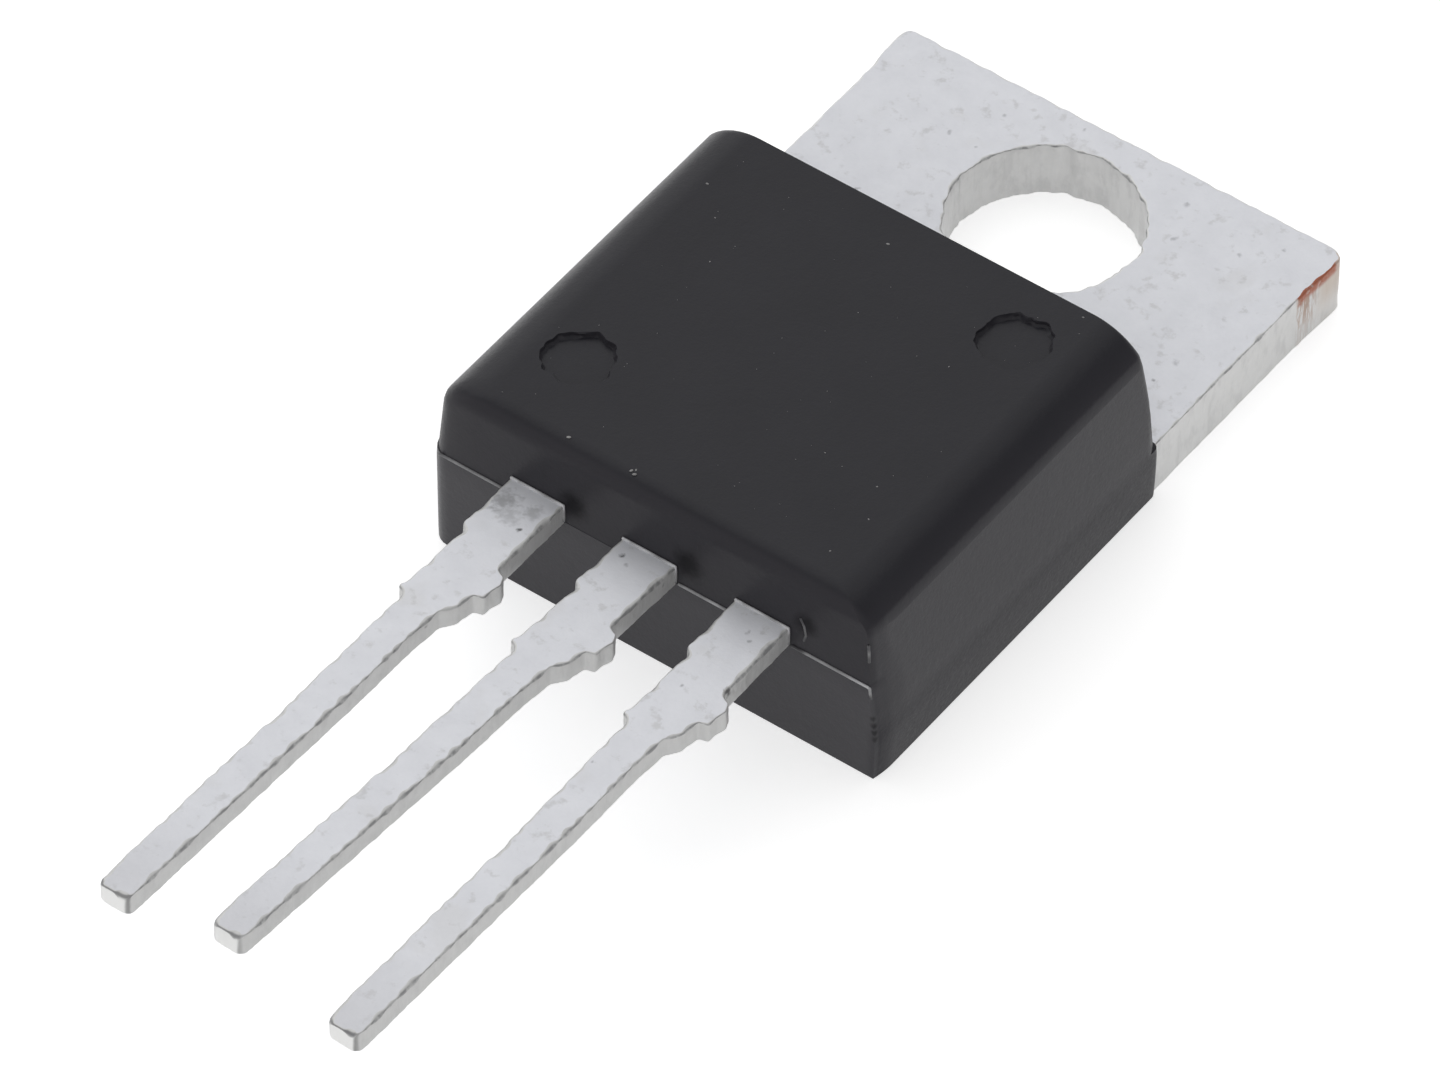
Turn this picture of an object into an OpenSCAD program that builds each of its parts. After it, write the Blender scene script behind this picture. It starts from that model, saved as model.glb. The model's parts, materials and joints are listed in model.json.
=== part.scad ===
// Power transistor in a moulded three-lead tab package, lying on its mounting face.
// Millimetres. The origin is the axis of the mounting hole at the mounting face,
// +Z is up out of the tab, +Y runs from the leads to the free end of the tab.

/* [Moulded body] */
// Width of the moulding across the leads
body_w = 10.24; // [9.64:0.1:10.64]
// Length of the moulding along the leads
body_l = 8.87; // [8.4:0.01:9.2]
// Height of the moulding above the mounting face
body_h = 4.2; // [4.0:0.01:4.8]
// Draft of the upper half on its two long sides, in degrees
side_draft = 4.5; // [2:0.5:7]
// Draft of the upper half on its front, where the leads leave, in degrees
front_draft = 3.25; // [2:0.25:7]
// Draft of the upper half on its rear, above the tab, in degrees
rear_draft = 5.25; // [2:0.25:8]
// Radius along the two long edges of the top
top_edge_r = 0.85; // [0.4:0.05:1.2]
// Radius along the front edge of the top
front_edge_r = 0.25; // [0.1:0.05:0.5]
// Radius of the four upright corners
corner_r = 0.3; // [0.15:0.05:0.5]
// How far the lower mould half stands out past the upper one on the front and rear
parting_step = 0.04; // [0.02:0.01:0.1]
// The same on the two long sides
side_step = 0.02; // [0.01:0.01:0.1]
// How far the upper mould half and the leads sit to the left of the lower half and the tab
mould_shift = 0.07; // [0:0.01:0.08]
// Width of the strip beside the front on which the parting line stays at lead height
parting_turn = 0.35; // [0.3:0.05:0.7]
// Run over which the parting line drops from lead height to the tab's top
parting_drop = 0.45; // [0.3:0.05:1]

/* [Ejector marks] */
// Diameter of the two round marks left by the ejector pins
ejector_d = 1.4; // [0.8:0.1:2]
// Depth of the marks
ejector_depth = 0.12; // [0.04:0.01:0.2]
// Front mark, distance left of the middle of the body
ejector_front_x = 3.22; // [2:0.01:3.3]
// Front mark, distance behind the front face
ejector_front_y = 2.11; // [1.5:0.01:3.5]
// Rear mark, distance right of the middle of the body
ejector_rear_x = 2.92; // [2:0.01:3.3]
// Rear mark, distance behind the front face
ejector_rear_y = 7.18; // [5:0.01:7.3]

/* [Tab and hole] */
// Thickness of the tab and of the die pad
tab_t = 1.3; // [1.15:0.05:1.4]
// How much of the moulding stands past the tab on each side
tab_wall = 0.12; // [0.08:0.01:0.3]
// Diameter of the mounting hole
hole_d = 3.85; // [3.54:0.01:4.08]
// Hole centre to the free end of the tab
hole_to_end = 2.6; // [2.54:0.01:3.4]
// Hole centre to the rear of the moulding
hole_to_body = 3.49; // [3.2:0.01:4.2]
// Size along the tab of the chamfers on its two far corners
chamfer_l = 0.16; // [0.1:0.02:0.5]
// Size across the tab of those chamfers
chamfer_w = 0.22; // [0.1:0.02:0.5]
// Distance from the free end to the start of the cut tie bar's two stubs, one at each far corner
tie_from_end = 1.3; // [0.9:0.05:1.4]
// Length of the slope by which each of them starts
tie_slope_l = 0.35; // [0.1:0.05:0.35]
// How far the two stubs stand out of the sides of the tab
tie_out = 0.08; // [0.04:0.01:0.11]

/* [Die pad] */
// Thickness of the moulding on each side of the pad
pad_wall = 0.9; // [0.7:0.05:1.2]
// Radius of the pad's front corners
pad_r = 0.4; // [0.2:0.1:0.8]
// How far the full tab width reaches in under the moulding before it necks down to the pad
tab_seat = 0.7; // [0.5:0.1:1.2]
// Width of the groove across the tab's top that locks the moulding
groove_w = 0.4; // [0.2:0.1:0.6]
// Depth of that groove
groove_depth = 0.2; // [0.1:0.05:0.3]

/* [Leads] */
// Distance between neighbouring leads
pitch = 2.54; // [2.49:0.01:2.59]
// Thickness of the lead metal
lead_t = 0.5; // [0.4:0.01:0.55]
// Height of the leads' underside above the mounting face, which is also the parting line
lead_z = 2.29; // [2.1:0.01:2.5]
// Width of the leads' wide part at the body
wide_w = 1.2; // [1.14:0.01:1.5]
// Length of the full wide part
wide_l = 1.5; // [1:0.1:2]
// How much the left edge steps in after the full wide part
wide_step = 0.1; // [0.05:0.01:0.15]
// Distance from the body to the end of the wide part
wide_end = 3.3; // [3:0.05:4]
// Length of the slope from the wide part to the pin
neck_l = 0.22; // [0.1:0.02:0.6]
// Width of the pin at the neck
pin_w = 0.78; // [0.7:0.01:0.9]
// Width of the pin at the tip
tip_w = 0.73; // [0.6:0.01:0.88]
// Distance from the body to the stub of the cut tie bar
stub_from = 2.05; // [1.7:0.05:2.2]
// Length of the stub
stub_l = 0.68; // [0.4:0.02:0.9]
// How far the stub stands out of the right edge
stub_out = 0.3; // [0.1:0.02:0.4]
// Length of the left lead outside the body
base_l = 12.4; // [10:0.05:14.7]
// Length of the middle lead outside the body
middle_l = 12.3; // [10:0.05:14.7]
// Length of the right lead outside the body
emitter_l = 12.3; // [10:0.05:14.7]
// Bevel around the tips
tip_bevel = 0.1; // [0.04:0.01:0.15]
// Upward tilt of the left lead from its root, in degrees
base_tilt = 1.5; // [0:0.1:4]
// Upward tilt of the middle lead from its root, in degrees
middle_tilt = 3.8; // [0:0.1:4]
// Upward tilt of the right lead from its root, in degrees
emitter_tilt = 0; // [0:0.1:4]
// Turn to the left of the left lead from its root, in degrees
base_turn = 0.26; // [0:0.01:1]
// Turn to the left of the middle lead from its root, in degrees
middle_turn = 0.67; // [0:0.01:1]
// Turn to the left of the right lead from its root, in degrees
emitter_turn = 0.5; // [0:0.01:1]

/* [Inside the moulding] */
// Distance behind the front face at which the middle lead starts down to the pad
jog_start = 0.9; // [0.7:0.1:1.2]
// Slope of the middle lead between its two bends, in degrees
jog_angle = 45; // [40:1:60]
// Inner radius of the two bends
bend_r = 0.25; // [0.1:0.05:0.3]
// Length by which the middle lead's metal reaches on into the pad
pad_root = 0.5; // [0.3:0.1:0.8]
// Width of the two bonding posts
post_w = 1.9; // [1.6:0.1:2.2]
// Depth of the posts along the leads
post_l = 1.3; // [1:0.1:1.5]
// Distance from the front face to the posts
post_gap = 0.7; // [0.5:0.1:0.9]
// How much further out than their leads the posts are centred
post_shift = 0.15; // [0:0.05:0.3]
// Side of the square silicon die
die_w = 3.2; // [2:0.1:3.6]
// Thickness of the die
die_t = 0.28; // [0.2:0.02:0.4]
// Margin of the solder around the die
solder_rim = 0.12; // [0.05:0.01:0.2]
// Thickness of the solder
solder_t = 0.06; // [0.04:0.01:0.1]
// Diameter of the bond wires
wire_d = 0.25; // [0.15:0.01:0.3]
// Length of the flattened foot at each end of a wire
foot_l = 0.55; // [0.4:0.05:0.7]
// Width of the feet
foot_w = 0.4; // [0.3:0.05:0.5]
// Thickness of the feet
foot_t = 0.15; // [0.14:0.01:0.2]
// Sideways distance of the two wires' feet from the middle of the die
foot_x = 0.8; // [0.6:0.1:1]
// Half of the angle that a wire's arc turns through, in degrees
wire_half_turn = 50; // [40:1:56]

/* [Hidden] */
$fn = 64;

// Overlap of pieces that are united, and overshoot of cutting shapes
lap = 0.1;
// How far a corner's round reaches past its two walls, so that it crosses them cleanly
corner_ease = 0.002;
// Straight steps in each bend of the middle lead
bend_steps = 8;
// Lengthwise places, with the hole axis at 0
body_rear = -hole_to_body;
body_front = body_rear - body_l;
// Half width of the upper mould half where it meets the lower one
upper_half_w = body_w / 2 - side_step;
// Widths of the tab and of the pad, which the moulding holds
tab_w = body_w - 2 * tab_wall;
pad_w = body_w - 2 * pad_wall;
// Heights
lead_top = lead_z + lead_t;
die_bottom = tab_t + solder_t;
die_top = die_bottom + die_t;
// The middle lead's way down to the pad: two bends on this middle radius and a slope between them
bend_mid_r = bend_r + lead_t / 2;
jog_drop = lead_top - tab_t;
slope_l = (jog_drop - 2 * bend_mid_r * (1 - cos(jog_angle))) / sin(jog_angle);
jog_run = 2 * bend_mid_r * sin(jog_angle) + slope_l * cos(jog_angle);
pad_front = body_front + jog_start + jog_run;
// Middle of the die, on the pad's free length
die_y = (pad_front + pad_root + body_rear - tab_seat) / 2;
// Height of a wire's end inside its foot
wire_seat = 0.45 * wire_d;

// Draws an outline in the YZ plane and gives it a thickness along X, centred
module along_x(width) {
    translate([-width / 2, 0, 0])
        rotate([90, 0, 90])
            linear_extrude(width)
                children();
}

// Draws an outline in the XZ plane and gives it the body's length along Y
module along_body() {
    translate([0, body_rear, 0])
        rotate([90, 0, 0])
            linear_extrude(body_l)
                children();
}

// Outline of the upper half seen along the leads: drafted sides with rounded shoulders
module upper_side_outline() {
    shoulder_z = body_h - top_edge_r;
    shoulder_x = upper_half_w - (shoulder_z - tab_t) * tan(side_draft) - top_edge_r / cos(side_draft);
    touch_x = shoulder_x + top_edge_r * cos(side_draft);
    touch_z = shoulder_z + top_edge_r * sin(side_draft);
    foot_half = upper_half_w + lap * tan(side_draft);
    polygon([
        [-foot_half, tab_t - lap], [-touch_x, touch_z], [-shoulder_x, body_h],
        [shoulder_x, body_h], [touch_x, touch_z], [foot_half, tab_t - lap]
    ]);
    for (side = [-1, 1])
        translate([side * shoulder_x, shoulder_z])
            circle(top_edge_r);
}

// Outline of the upper half seen from the side: drafted front and rear, front edge rounded
module upper_length_outline() {
    front_y = body_front + parting_step;
    rear_y = body_rear - parting_step;
    edge_z = body_h - front_edge_r;
    edge_y = front_y + (edge_z - lead_z) * tan(front_draft) + front_edge_r / cos(front_draft);
    touch_y = edge_y - front_edge_r * cos(front_draft);
    touch_z = edge_z + front_edge_r * sin(front_draft);
    polygon([
        [front_y, lead_z], [touch_y, touch_z], [edge_y, body_h],
        [rear_y - (body_h - tab_t) * tan(rear_draft), body_h], [rear_y, tab_t],
        [body_front + parting_turn + parting_drop, tab_t], [body_front + parting_turn, lead_z]
    ]);
    translate([edge_y, edge_z])
        circle(front_edge_r);
}

// Outline of the lower half seen from the side, with the raised wall under the leads
module lower_length_outline() {
    polygon([
        [body_front, 0], [body_rear, 0], [body_rear, tab_t],
        [body_front + parting_turn + parting_drop, tab_t],
        [body_front + parting_turn, lead_z], [body_front, lead_z]
    ]);
}

// Outline of the lower half seen along the leads. Its sides are upright, but on the right,
// away from which the upper half sits, the raised wall leans in with the upper half.
module lower_side_outline() {
    half_w = body_w / 2;
    raised_right = half_w - (lead_z - tab_t) * tan(side_draft);
    polygon([
        [-half_w, 0], [-half_w, lead_z], [raised_right, lead_z], [half_w, tab_t], [half_w, 0]
    ]);
}

// What a round takes off an upright corner between two drafted walls. The corner stands at
// the origin and its walls face +X and -Y. The round's axis follows the lean of the corner.
module corner_waste(end_draft) {
    lean = atan(tan(end_draft) * cos(side_draft));
    squint = asin(sin(end_draft) * sin(side_draft));
    reach = 3 * corner_r;
    inset = corner_r - corner_ease;
    translate([-inset / cos(side_draft), inset / cos(end_draft), 0])
        rotate([-lean, -side_draft, 0])
            translate([0, 0, -lap])
                linear_extrude(body_h)
                    difference() {
                        polygon([
                            [0, 0], [reach, 0], [reach, -reach],
                            [reach * sin(squint), -reach * cos(squint)]
                        ]);
                        circle(corner_r);
                    }
}

// The upper half of the moulding
module upper_half() {
    translate([-mould_shift, 0, 0])
        difference() {
            intersection() {
                along_body() upper_side_outline();
                along_x(body_w) upper_length_outline();
            }
            for (side = [0, 1])
                mirror([side, 0, 0]) {
                    translate([
                        upper_half_w - (lead_z - tab_t) * tan(side_draft),
                        body_front + parting_step, lead_z
                    ])
                        corner_waste(front_draft);
                    translate([upper_half_w, body_rear - parting_step, tab_t])
                        mirror([0, 1, 0])
                            corner_waste(rear_draft);
                }
        }
}

// The lower half of the moulding
module lower_half() {
    intersection() {
        along_body() lower_side_outline();
        along_x(body_w) lower_length_outline();
        translate([0, body_front + corner_r, -lap])
            linear_extrude(lead_z + 2 * lap) {
                for (side = [-1, 1])
                    translate([side * (body_w / 2 - corner_r), 0])
                        circle(corner_r);
                translate([-body_w / 2, 0])
                    square([body_w, body_l]);
                translate([corner_r - body_w / 2, -corner_r])
                    square([body_w - 2 * corner_r, corner_r + lap]);
            }
    }
}

// One ejector mark, sunk into the top of the moulding
module ejector_mark(x, y) {
    translate([x, body_front + y, body_h - ejector_depth])
        cylinder(h = ejector_depth + lap, d = ejector_d);
}

// Outline of one lead in plan, with its right root corner at the origin and its tip at -length
module lead_outline(length) {
    middle = -wide_w / 2;
    neck = wide_end + neck_l;
    polygon([
        [-wide_w, 0], [-wide_w, -wide_l], [wide_step - wide_w, -wide_l - wide_step],
        [wide_step - wide_w, -wide_end], [middle - pin_w / 2, -neck],
        [middle - tip_w / 2, tip_bevel - length], [middle - tip_w / 2 + tip_bevel, -length],
        [middle + tip_w / 2 - tip_bevel, -length], [middle + tip_w / 2, tip_bevel - length],
        [middle + pin_w / 2, -neck], [0, -wide_end], [0, -stub_from - stub_l],
        [stub_out, -stub_from - stub_l], [stub_out, -stub_from], [0, -stub_from], [0, 0]
    ]);
}

// Outline of one lead from the side, with bevels above and below the tip
module lead_side(length) {
    polygon([
        [0, 0], [0, lead_t], [tip_bevel - length, lead_t], [-length, lead_t - tip_bevel],
        [-length, tip_bevel], [tip_bevel - length, 0]
    ]);
}

// One lead outside the body. It tilts and turns on its lower right root corner, so that
// the rest of its root stays inside the straight stretch behind it.
module lead_blade(x, length, tilt, turn) {
    translate([x + wide_w / 2, body_front, lead_z])
        rotate([-tilt, 0, -turn])
            intersection() {
                translate([0, 0, -lap])
                    linear_extrude(lead_t + 2 * lap)
                        lead_outline(length);
                along_x(3 * wide_w) lead_side(length);
            }
}

// The straight stretch of a lead inside the moulding
module lead_root(x, depth) {
    translate([x - wide_w / 2, body_front, lead_z])
        cube([wide_w, depth, lead_t]);
}

// Middle of the bonding post of the left lead (-1) or of the right one (1)
function post_x(side) = side * (pitch + post_shift) - mould_shift;

// One outer lead: blade, root and the bonding post, to the left (-1) or to the right (1)
module outer_lead(side, length, tilt, turn) {
    lead_x = side * pitch - mould_shift;
    lead_blade(lead_x, length, tilt, turn);
    lead_root(lead_x, post_gap + lap);
    translate([post_x(side) - post_w / 2, body_front + post_gap, lead_z])
        cube([post_w, post_l, lead_t]);
}

// Points of an arc around a centre, from one direction to another
function arc(centre, r, from, to) = [
    for (step = [0:bend_steps])
        let (angle = from + (to - from) * step / bend_steps)
            centre + r * [cos(angle), sin(angle)]
];

// Side outline of the middle lead from the front face down into the pad
module jog_outline() {
    upper_bend = [body_front + jog_start, lead_z - bend_r];
    lower_bend = [pad_front, tab_t + bend_r];
    outer_r = bend_r + lead_t;
    polygon(concat(
        [[body_front, lead_top]],
        arc(upper_bend, outer_r, 90, 90 - jog_angle),
        arc(lower_bend, bend_r, 270 - jog_angle, 270),
        [[pad_front + pad_root, tab_t], [pad_front + pad_root, tab_t - lead_t]],
        arc(lower_bend, outer_r, 270, 270 - jog_angle),
        arc(upper_bend, bend_r, 90 - jog_angle, 90),
        [[body_front, lead_z]]
    ));
}

// Plan outline of the tab, necked down to the die pad under the moulding
module tab_outline() {
    side_x = tab_w / 2;
    stub_x = side_x + tie_out;
    seat = body_rear - tab_seat;
    pad_l = seat + lap - pad_front;
    tie_y = hole_to_end - tie_from_end;
    polygon([
        [-side_x, seat], [side_x, seat], [side_x, tie_y], [stub_x, tie_y + tie_slope_l],
        [stub_x, hole_to_end - chamfer_l], [stub_x - chamfer_w, hole_to_end],
        [chamfer_w - stub_x, hole_to_end], [-stub_x, hole_to_end - chamfer_l],
        [-stub_x, tie_y + tie_slope_l], [-side_x, tie_y]
    ]);
    for (side = [-1, 1])
        translate([side * (pad_w / 2 - pad_r), pad_front + pad_r])
            circle(pad_r);
    translate([-pad_w / 2, pad_front + pad_r])
        square([pad_w, pad_l - pad_r]);
    translate([pad_r - pad_w / 2, pad_front])
        square([pad_w - 2 * pad_r, pad_r + lap]);
}

// Tab, die pad and middle lead, one stamped and formed piece of copper of two thicknesses.
// The pad can reach a little below the mounting face, for cutting its bed in the moulding.
module header_metal(below = 0) {
    difference() {
        union() {
            translate([0, 0, -below])
                linear_extrude(tab_t + below)
                    tab_outline();
            translate([-mould_shift, 0, 0]) {
                along_x(wide_w) jog_outline();
                lead_blade(0, middle_l, middle_tilt, middle_turn);
            }
        }
        translate([0, body_rear - tab_seat / 2, tab_t])
            along_x(body_w)
                polygon([[-groove_w / 2, lap], [-groove_w / 2, 0], [0, -groove_depth],
                    [groove_w / 2, 0], [groove_w / 2, lap]]);
    }
}

// One bond wire from the die to a post, to the left (-1) or to the right (1)
module bond_wire(side) {
    die_x = side * foot_x;
    post_y = body_front + post_gap + post_l / 2;
    span_x = post_x(side) - die_x;
    span_y = post_y - die_y;
    heading = atan2(span_y, span_x);
    run = norm([span_x, span_y]);
    rise = lead_top - die_top;
    slope = atan2(rise, run);
    chord = norm([run, rise]);
    arc_r = chord / 2 / sin(wire_half_turn);
    depth = arc_r * cos(wire_half_turn);
    translate([die_x, die_y, die_top])
        rotate([0, 0, heading]) {
            translate([run / 2 + depth * sin(slope), 0, wire_seat + rise / 2 - depth * cos(slope)])
                rotate([90, 0, 0])
                    rotate([0, 0, 90 + slope - wire_half_turn])
                        rotate_extrude(angle = 2 * wire_half_turn)
                            translate([arc_r, 0])
                                circle(d = wire_d);
            for (foot = [[0, 0], [run, rise]])
                translate([foot[0] - foot_l / 2, -foot_w / 2, foot[1]])
                    cube([foot_l, foot_w, foot_t]);
        }
}

module moulded_body() {
    color([0.22, 0.22, 0.23])
        difference() {
            union() {
                upper_half();
                lower_half();
            }
            ejector_mark(-ejector_front_x, ejector_front_y);
            ejector_mark(ejector_rear_x, ejector_rear_y);
            header_metal(lap);
            outer_lead(-1, base_l, base_tilt, base_turn);
            outer_lead(1, emitter_l, emitter_tilt, emitter_turn);
            silicon_die();
            die_solder();
            bond_wire(-1);
            bond_wire(1);
        }
}

module header() {
    color([0.80, 0.80, 0.81])
        difference() {
            header_metal();
            translate([0, 0, -lap])
                cylinder(h = tab_t + 2 * lap, d = hole_d);
        }
}

module base_lead() {
    color([0.80, 0.80, 0.81])
        union() outer_lead(-1, base_l, base_tilt, base_turn);
}

module emitter_lead() {
    color([0.80, 0.80, 0.81])
        union() outer_lead(1, emitter_l, emitter_tilt, emitter_turn);
}

module silicon_die() {
    color([0.35, 0.37, 0.42])
        translate([-die_w / 2, die_y - die_w / 2, die_bottom])
            cube([die_w, die_w, die_t]);
}

module die_solder() {
    solder_w = die_w + 2 * solder_rim;
    color([0.66, 0.66, 0.68])
        translate([-solder_w / 2, die_y - solder_w / 2, tab_t])
            cube([solder_w, solder_w, solder_t]);
}

module base_wire() {
    color([0.86, 0.86, 0.87])
        union() bond_wire(-1);
}

module emitter_wire() {
    color([0.86, 0.86, 0.87])
        union() bond_wire(1);
}

moulded_body();
header();
base_lead();
emitter_lead();
silicon_die();
die_solder();
base_wire();
emitter_wire();
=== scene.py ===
import json
import math
import random

import bmesh
import bpy
from mathutils import Matrix, Vector, noise


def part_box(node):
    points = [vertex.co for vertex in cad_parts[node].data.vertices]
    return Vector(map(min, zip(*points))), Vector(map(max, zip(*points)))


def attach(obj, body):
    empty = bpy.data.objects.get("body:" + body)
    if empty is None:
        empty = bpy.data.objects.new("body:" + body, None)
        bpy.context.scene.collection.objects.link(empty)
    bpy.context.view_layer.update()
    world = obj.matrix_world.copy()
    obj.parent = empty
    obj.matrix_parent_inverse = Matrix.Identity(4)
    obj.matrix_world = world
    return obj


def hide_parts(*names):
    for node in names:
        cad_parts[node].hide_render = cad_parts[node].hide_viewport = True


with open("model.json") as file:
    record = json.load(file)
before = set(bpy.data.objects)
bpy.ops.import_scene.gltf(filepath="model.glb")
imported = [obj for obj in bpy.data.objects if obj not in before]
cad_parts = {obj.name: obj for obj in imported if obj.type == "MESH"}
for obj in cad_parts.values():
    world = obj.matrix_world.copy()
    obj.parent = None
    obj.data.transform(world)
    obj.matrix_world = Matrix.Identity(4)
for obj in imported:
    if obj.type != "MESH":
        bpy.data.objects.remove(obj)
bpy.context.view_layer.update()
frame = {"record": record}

# The part lies on a plain white table, seen from the lead end and from above. All sizes
# below are written in millimetres and turned into metres by mm.
mm = 0.001
scene = bpy.context.scene
scene.view_settings.view_transform = "Standard"


def placed(name, data):
    """A new object in the scene."""
    item = bpy.data.objects.new(name, data)
    scene.collection.objects.link(item)
    return item


# The camera was fitted to the edges that the photo shows
azimuth = math.radians(36.44)
elevation = math.radians(47.308)
looks_at = Vector((0.050, -10.336, 1.450)) * mm
distance = 230.08 * mm
back = Vector((
    math.sin(azimuth) * math.cos(elevation),
    -math.cos(azimuth) * math.cos(elevation),
    math.sin(elevation),
))
right = Vector((math.cos(azimuth), math.sin(azimuth), 0))
camera_data = bpy.data.cameras.new("camera")
camera_data.sensor_width = 36
camera_data.lens = 314.2
camera_data.clip_start = 0.01
camera_data.clip_end = 10
camera = placed("camera", camera_data)
camera.matrix_world = Matrix.Translation(looks_at + back * distance) @ Matrix(
    (right, back.cross(right), back)
).transposed().to_4x4()
scene.camera = camera


def new_material(name):
    """A new material, its nodes and its links."""
    material = bpy.data.materials.new(name)
    material.use_nodes = True
    return material, material.node_tree.nodes, material.node_tree.links


def combined(nodes, links, operation, first, second):
    """Two values put together by an operation, each a number or a socket."""
    maths = nodes.new("ShaderNodeMath")
    maths.operation = operation
    for socket, value in zip(maths.inputs, (first, second)):
        if isinstance(value, (int, float)):
            socket.default_value = value
        else:
            links.new(value, socket)
    return maths.outputs[0]


def ramp(nodes, links, value, low, high, out_low, out_high, smooth=True):
    """The value between low and high, spread over a new range and held at its ends."""
    spread = nodes.new("ShaderNodeMapRange")
    spread.interpolation_type = "SMOOTHSTEP" if smooth else "LINEAR"
    spread.inputs["From Min"].default_value = low
    spread.inputs["From Max"].default_value = high
    spread.inputs["To Min"].default_value = out_low
    spread.inputs["To Max"].default_value = out_high
    links.new(value, spread.inputs["Value"])
    return spread.outputs["Result"]


def seen_directly(nodes, links):
    """One where the camera, a reflection or clear glass looks straight at the surface."""
    rays = nodes.new("ShaderNodeLightPath").outputs
    seen = combined(nodes, links, "MAXIMUM", rays["Is Camera Ray"], rays["Is Glossy Ray"])
    return combined(nodes, links, "MAXIMUM", seen, rays["Is Transmission Ray"])


# The table is a white sheet. It keeps the part's soft shadow, and a little added glow
# lifts the rest of it to plain white.
table_drop = 0.002 * mm
table_half = 2.0
table_glow = 0.58
table_data = bpy.data.meshes.new("table")
table_data.from_pydata(
    [(x * table_half, y * table_half, -table_drop) for x, y in ((-1, -1), (1, -1), (1, 1), (-1, 1))],
    [], [(0, 1, 2, 3)],
)
table = placed("table", table_data)
table_paint, nodes, links = new_material("white_table")
nodes.clear()
sheet = nodes.new("ShaderNodeBsdfDiffuse")
sheet.inputs["Color"].default_value = (0.80, 0.80, 0.80, 1)
glow = nodes.new("ShaderNodeEmission")
glow_level = combined(nodes, links, "MULTIPLY", seen_directly(nodes, links), table_glow)
links.new(glow_level, glow.inputs["Strength"])
both = nodes.new("ShaderNodeAddShader")
links.new(sheet.outputs[0], both.inputs[0])
links.new(glow.outputs[0], both.inputs[1])
output = nodes.new("ShaderNodeOutputMaterial")
links.new(both.outputs[0], output.inputs["Surface"])
table_data.materials.append(table_paint)

# The room is a pale tent, brighter overhead than at its rim, and white where the camera
# looks straight at it.
world = bpy.data.worlds.new("tent")
world.use_nodes = True
scene.world = world
nodes, links = world.node_tree.nodes, world.node_tree.links
nodes.clear()
where = nodes.new("ShaderNodeTexCoord")
height = nodes.new("ShaderNodeSeparateXYZ")
links.new(where.outputs["Generated"], height.inputs[0])
levels = nodes.new("ShaderNodeValToRGB")
levels.color_ramp.interpolation = "EASE"
stops = levels.color_ramp.elements
for stop, level in zip(stops, (0.60, 0.66)):
    stop.color = (level, level, level, 1)
links.new(height.outputs["Z"], levels.inputs["Fac"])
tent = nodes.new("ShaderNodeBackground")
# The tent is darker behind the part on its right
shady_side = nodes.new("ShaderNodeVectorMath")
shady_side.operation = "DOT_PRODUCT"
shady_side.inputs[1].default_value = (0.80, 0.60, 0.0)
links.new(where.outputs["Generated"], shady_side.inputs[0])
shade = ramp(nodes, links, shady_side.outputs["Value"], -0.06, 0.18, 1.0, 0.57)
links.new(levels.outputs["Color"], tent.inputs["Color"])
links.new(shade, tent.inputs["Strength"])
backdrop = nodes.new("ShaderNodeBackground")
backdrop.inputs["Color"].default_value = (1, 1, 1, 1)
path = nodes.new("ShaderNodeLightPath")
choose = nodes.new("ShaderNodeMixShader")
links.new(path.outputs["Is Camera Ray"], choose.inputs["Fac"])
links.new(tent.outputs[0], choose.inputs[1])
links.new(backdrop.outputs[0], choose.inputs[2])
output = nodes.new("ShaderNodeOutputWorld")
links.new(choose.outputs[0], output.inputs["Surface"])


def softbox(name, direction, size, reach, watts):
    """A square soft lamp that faces the part from a direction."""
    data = bpy.data.lights.new(name, "AREA")
    data.shape = "SQUARE"
    data.size = size
    data.energy = watts
    lamp = placed(name, data)
    away = Vector(direction).normalized()
    lamp.location = looks_at + away * reach
    lamp.rotation_mode = "QUATERNION"
    lamp.rotation_quaternion = away.to_track_quat("Z", "Y")


softbox("roof_softbox", direction=(-0.45, 0.50, 0.82), size=1.3, reach=0.9, watts=3.4)
softbox("right_softbox", direction=(0.9, -0.5, 0.55), size=0.8, reach=0.9, watts=0.5)

# Tinned copper: the metal of the header and of the two outer leads. It is stamped from one
# strip, plated with dull tin, and shows grain, faint stains and bare copper at a torn edge.


def scaled_place(nodes, links, stretch):
    """Object coordinates in millimetres, stretched along each axis."""
    where = nodes.new("ShaderNodeTexCoord")
    scale = nodes.new("ShaderNodeMapping")
    scale.inputs["Scale"].default_value = [1 / mm * s for s in stretch]
    links.new(where.outputs["Object"], scale.inputs["Vector"])
    return scale.outputs["Vector"]


def new_group(name, kind, inputs, outputs):
    """A new node group with named inputs and outputs, and its two end nodes."""
    tree = bpy.data.node_groups.new(name, kind)
    for side, sockets in (("INPUT", inputs), ("OUTPUT", outputs)):
        for label, value_kind in sockets:
            tree.interface.new_socket(label, in_out=side, socket_type="NodeSocket" + value_kind)
    return tree, tree.nodes.new("NodeGroupInput"), tree.nodes.new("NodeGroupOutput")


def surface_grain():
    """A group that gives a noise value between 0 and 1 at a place."""
    levels = ("Scale", "Detail", "Roughness")
    tree, given, made = new_group(
        "surface_grain", "ShaderNodeTree",
        [("Place", "Vector")] + [(label, "Float") for label in levels], [("Value", "Float")],
    )
    texture = tree.nodes.new("ShaderNodeTexNoise")
    tree.links.new(given.outputs["Place"], texture.inputs["Vector"])
    for label in levels:
        tree.links.new(given.outputs[label], texture.inputs[label])
    tree.links.new(texture.outputs["Fac"], made.inputs["Value"])
    return tree


grain_tree = surface_grain()


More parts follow.
